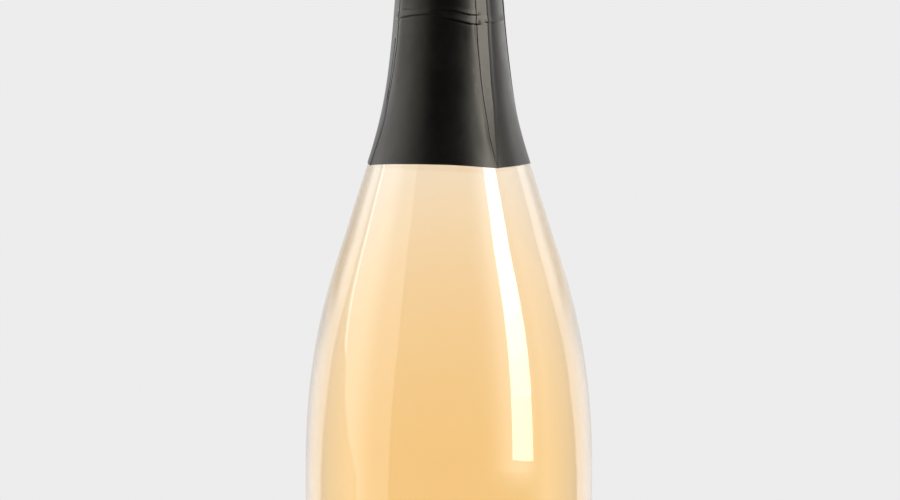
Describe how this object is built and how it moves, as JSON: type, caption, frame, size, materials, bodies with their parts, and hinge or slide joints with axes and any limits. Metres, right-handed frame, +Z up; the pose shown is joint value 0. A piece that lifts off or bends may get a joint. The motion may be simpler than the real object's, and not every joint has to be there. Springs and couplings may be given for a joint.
{
  "type": "sparkling wine bottle",
  "caption": "Full clear glass sparkling wine bottle with a punted base, peach-coloured wine, mushroom cork, metal cap, wire cage and a pleated black foil capsule with tear strip and pull tab.",
  "frame": {"origin": "centre of the bearing ring that the bottle stands on, at floor level", "axes": "+Z up along the bottle's axis, -Y towards the front of the pictured view, +X to the right of it"},
  "size_m": [0.0888, 0.0888, 0.3283],
  "materials": {
    "clear_glass": "polished",
    "wine": "polished",
    "black_foil": "satin",
    "agglomerated_cork": "matte",
    "natural_cork": "matte",
    "cap_plate": "satin",
    "cage_wire": "satin"
  },
  "bodies": {
    "bottle": {"bottle": "clear_glass", "wine": "wine", "capsule_skirt": "black_foil"},
    "cork": {"cork_body": "agglomerated_cork", "cork_disc_lower": "natural_cork", "cork_disc_upper": "natural_cork"},
    "cage": {"cork_cap_plate": "cap_plate", "cage_wire": "cage_wire", "belt_wire": "cage_wire"},
    "tear_strip": {"capsule_tear_strip": "black_foil"},
    "pull_tab": {"pull_tab": "black_foil"},
    "hood": {"capsule_hood": "black_foil", "capsule_top_disc": "black_foil"}
  },
  "joints": [
    {"name": "cork_pull", "type": "slide", "parent": "bottle", "child": "cork", "axis": [0, 0, 1], "range_m": [0, 0.06]},
    {"name": "cage_lift", "type": "slide", "parent": "cork", "child": "cage", "axis": [0, 0, 1], "range_m": [0, 0.06], "deforming": ["cage_wire", "belt_wire"]},
    {"name": "strip_peel", "type": "slide", "parent": "cage", "child": "tear_strip", "axis": [0, 0, 1], "range_m": [0, 0.06]},
    {"name": "hood_lift", "type": "slide", "parent": "tear_strip", "child": "hood", "axis": [0, 0, 1], "range_m": [0, 0.06]},
    {"name": "tab_fold", "type": "hinge", "parent": "tear_strip", "child": "pull_tab", "pos_m": [0.01657, 0.01294, 0.2875], "axis": [0, 0, -1], "range_deg": [0, 120]}
  ]
}
